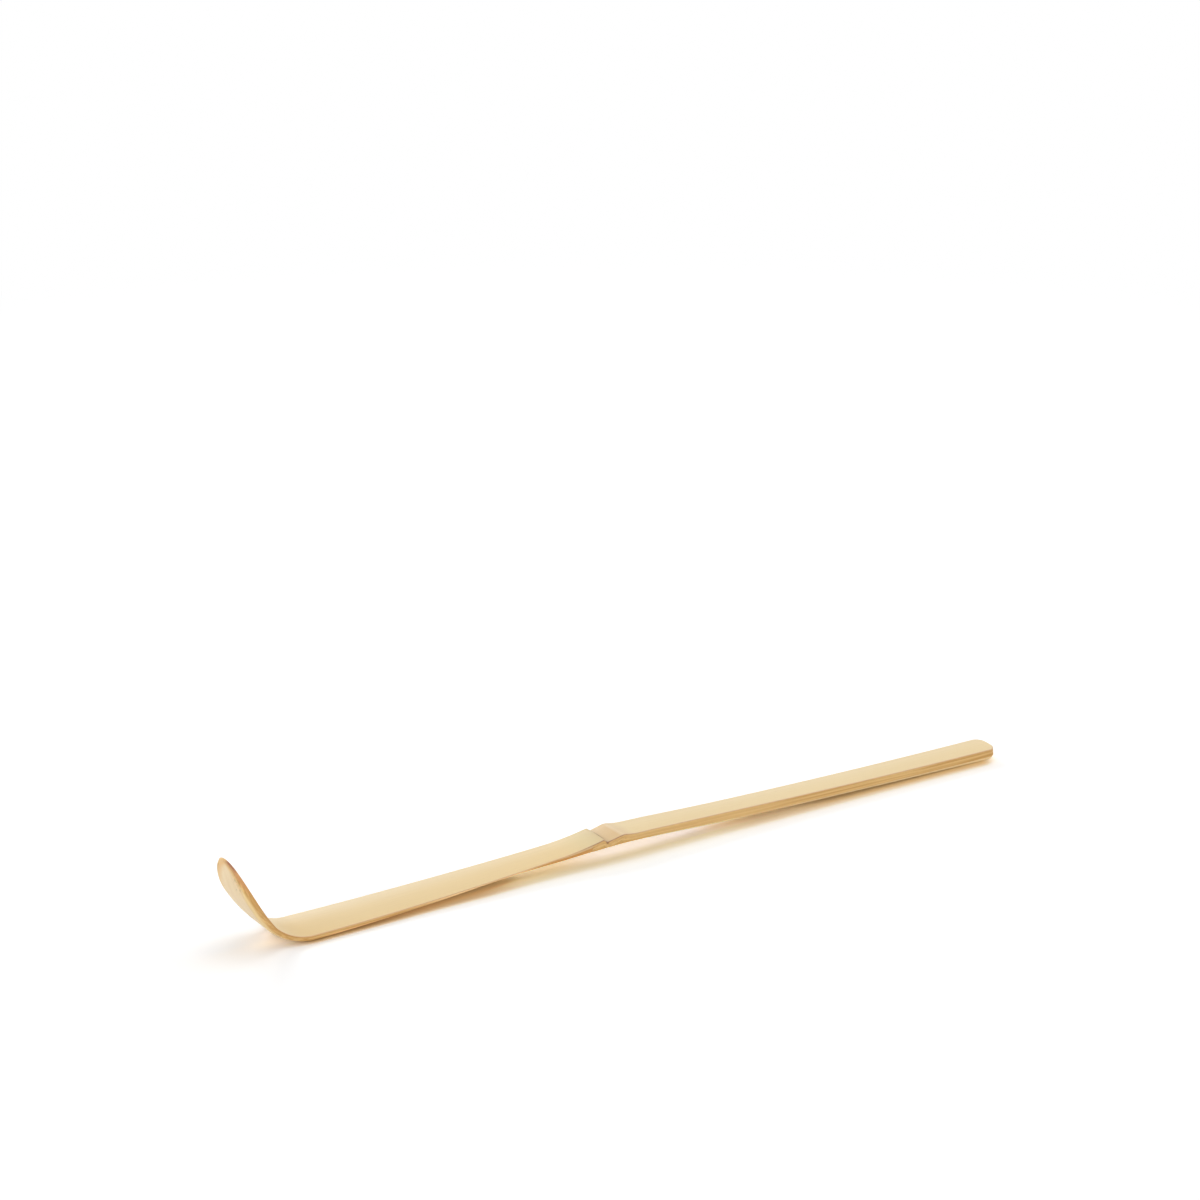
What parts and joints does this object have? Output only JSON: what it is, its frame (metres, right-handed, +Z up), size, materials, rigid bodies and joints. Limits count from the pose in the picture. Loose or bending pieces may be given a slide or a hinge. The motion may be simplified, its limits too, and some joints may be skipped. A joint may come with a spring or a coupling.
{
  "type": "tea scoop",
  "caption": "Slender bamboo tea scoop with a steeply bent spoon-like blade, a flat heel, a raised culm node at mid length and a slim tapering handle, for measuring powdered tea.",
  "frame": {"origin": "on the floor, halfway between the scoop's tip and the end of the handle, on the scoop's middle plane", "axes": "+X from the scoop's tip to the end of the handle, +Y across the face, +Z up out of the face"},
  "size_m": [0.1812, 0.013, 0.019],
  "materials": {
    "bamboo": "satin"
  },
  "bodies": {
    "root": {"scoop_blade": "bamboo", "heel_bend": "bamboo", "front_shaft": "bamboo", "bamboo_node": "bamboo", "handle": "bamboo"}
  },
  "joints": []
}
